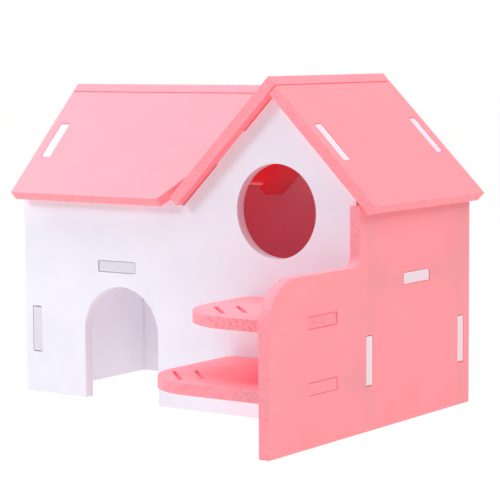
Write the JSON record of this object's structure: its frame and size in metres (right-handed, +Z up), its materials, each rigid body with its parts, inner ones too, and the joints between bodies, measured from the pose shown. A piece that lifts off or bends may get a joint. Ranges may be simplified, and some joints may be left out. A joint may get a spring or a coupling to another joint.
{
  "type": "hamster hideout",
  "caption": "Small pet hideout house of flat slotted boards, with an arched door, a round window, pitched roof boards that lift off, and steps on a side wing.",
  "frame": {"origin": "on the floor, under the middle of the overall box", "axes": "+X to the right along the long side, towards the wing; +Y to the back; +Z up"},
  "size_m": [0.1988, 0.163, 0.1495],
  "materials": {
    "white_board": "white foamed board with a smooth satin skin and finely porous cut edges",
    "pink_board": "pink foamed board with a smooth satin skin and finely porous cut edges"
  },
  "bodies": {
    "house": {"front_wall": "white_board", "back_wall": "white_board", "left_wall": "white_board", "right_wall": "pink_board", "upper_floor": "white_board", "lower_step": "pink_board", "upper_step": "pink_board", "gable_roof_left": "pink_board"},
    "left_roof_front": {"left_roof_front": "pink_board"},
    "left_roof_rear": {"left_roof_rear": "pink_board"},
    "gable_roof_right": {"gable_roof_right": "pink_board"}
  },
  "joints": [
    {"name": "left_roof_front_lift", "type": "slide", "parent": "house", "child": "left_roof_front", "axis": [0, -0.7071, 0.7071], "range_m": [0, 0.035]},
    {"name": "left_roof_rear_lift", "type": "slide", "parent": "house", "child": "left_roof_rear", "axis": [0, 0.7071, 0.7071], "range_m": [0, 0.035]},
    {"name": "gable_roof_right_lift", "type": "slide", "parent": "house", "child": "gable_roof_right", "axis": [0.7071, 0, 0.7071], "range_m": [0, 0.035]}
  ]
}
